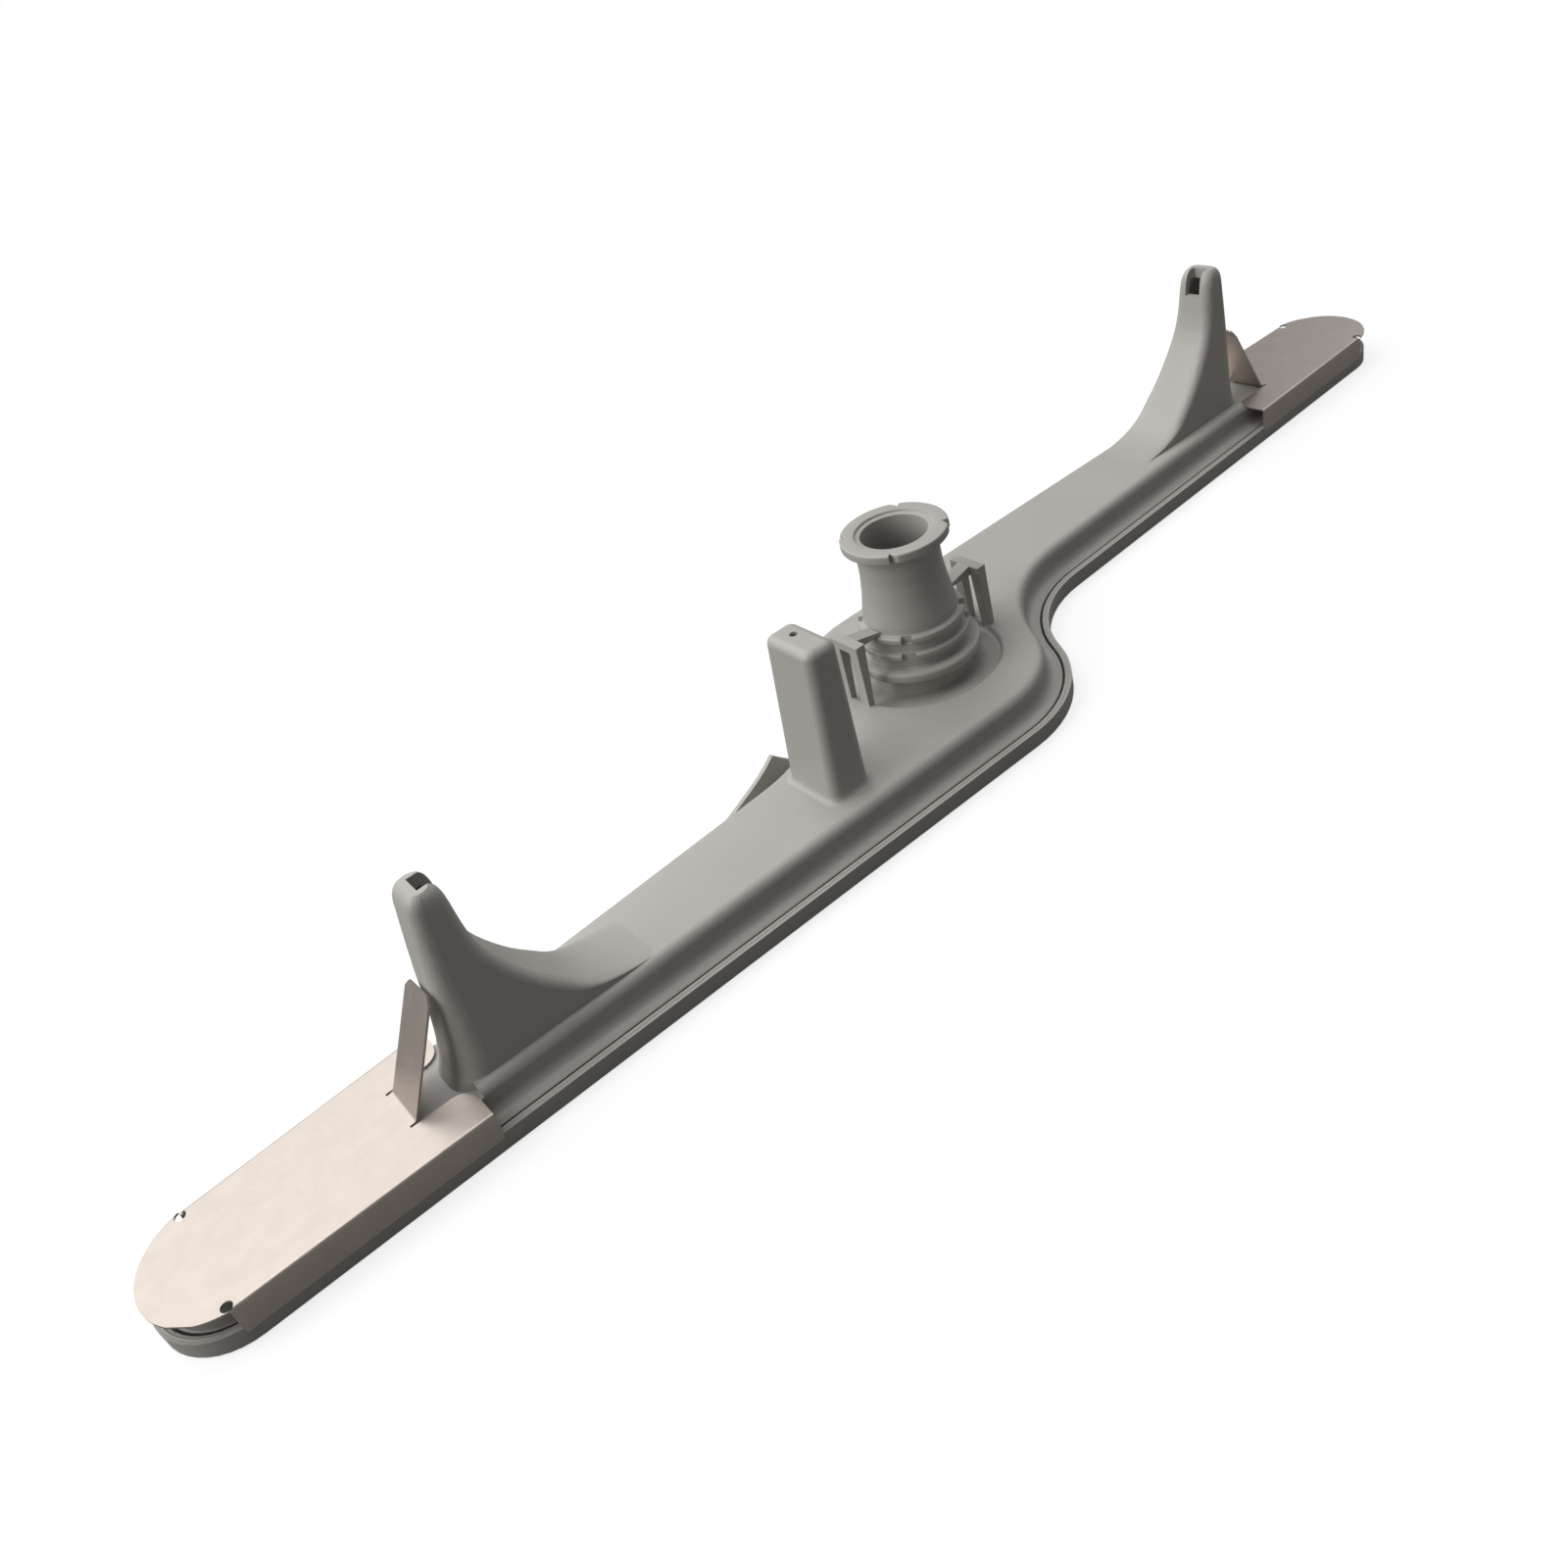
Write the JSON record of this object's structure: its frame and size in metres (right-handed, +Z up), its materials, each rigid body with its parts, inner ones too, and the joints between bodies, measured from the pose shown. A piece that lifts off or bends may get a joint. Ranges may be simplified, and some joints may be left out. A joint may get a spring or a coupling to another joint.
{
  "type": "dishwasher spray arm",
  "caption": "S-shaped hollow spray arm with upright nozzle towers, folded steel end clips and a snap-in feed hub on which it spins.",
  "frame": {"origin": "on the hub axis, at the flat underside of the lower shell", "axes": "+Z up along the hub axis, +X along the arm towards the end without the middle tower, +Y to the back"},
  "size_m": [0.54, 0.0966, 0.0662],
  "materials": {
    "shell_plastic": "warm grey injection-moulded polypropylene, satin",
    "hub_plastic": "warm grey injection-moulded polypropylene, satin",
    "clip_steel": "cold-rolled stainless sheet, dull mill finish"
  },
  "bodies": {
    "arm": {"upper_shell": "shell_plastic", "lower_shell": "shell_plastic", "end_clip_near": "clip_steel", "end_clip_far": "clip_steel"},
    "hub": {"hub_tube": "hub_plastic"}
  },
  "joints": [
    {"name": "hub_spin", "type": "hinge", "parent": "arm", "child": "hub", "pos_m": [0, 0, 0], "axis": [0, 0, 1], "continuous": true}
  ]
}
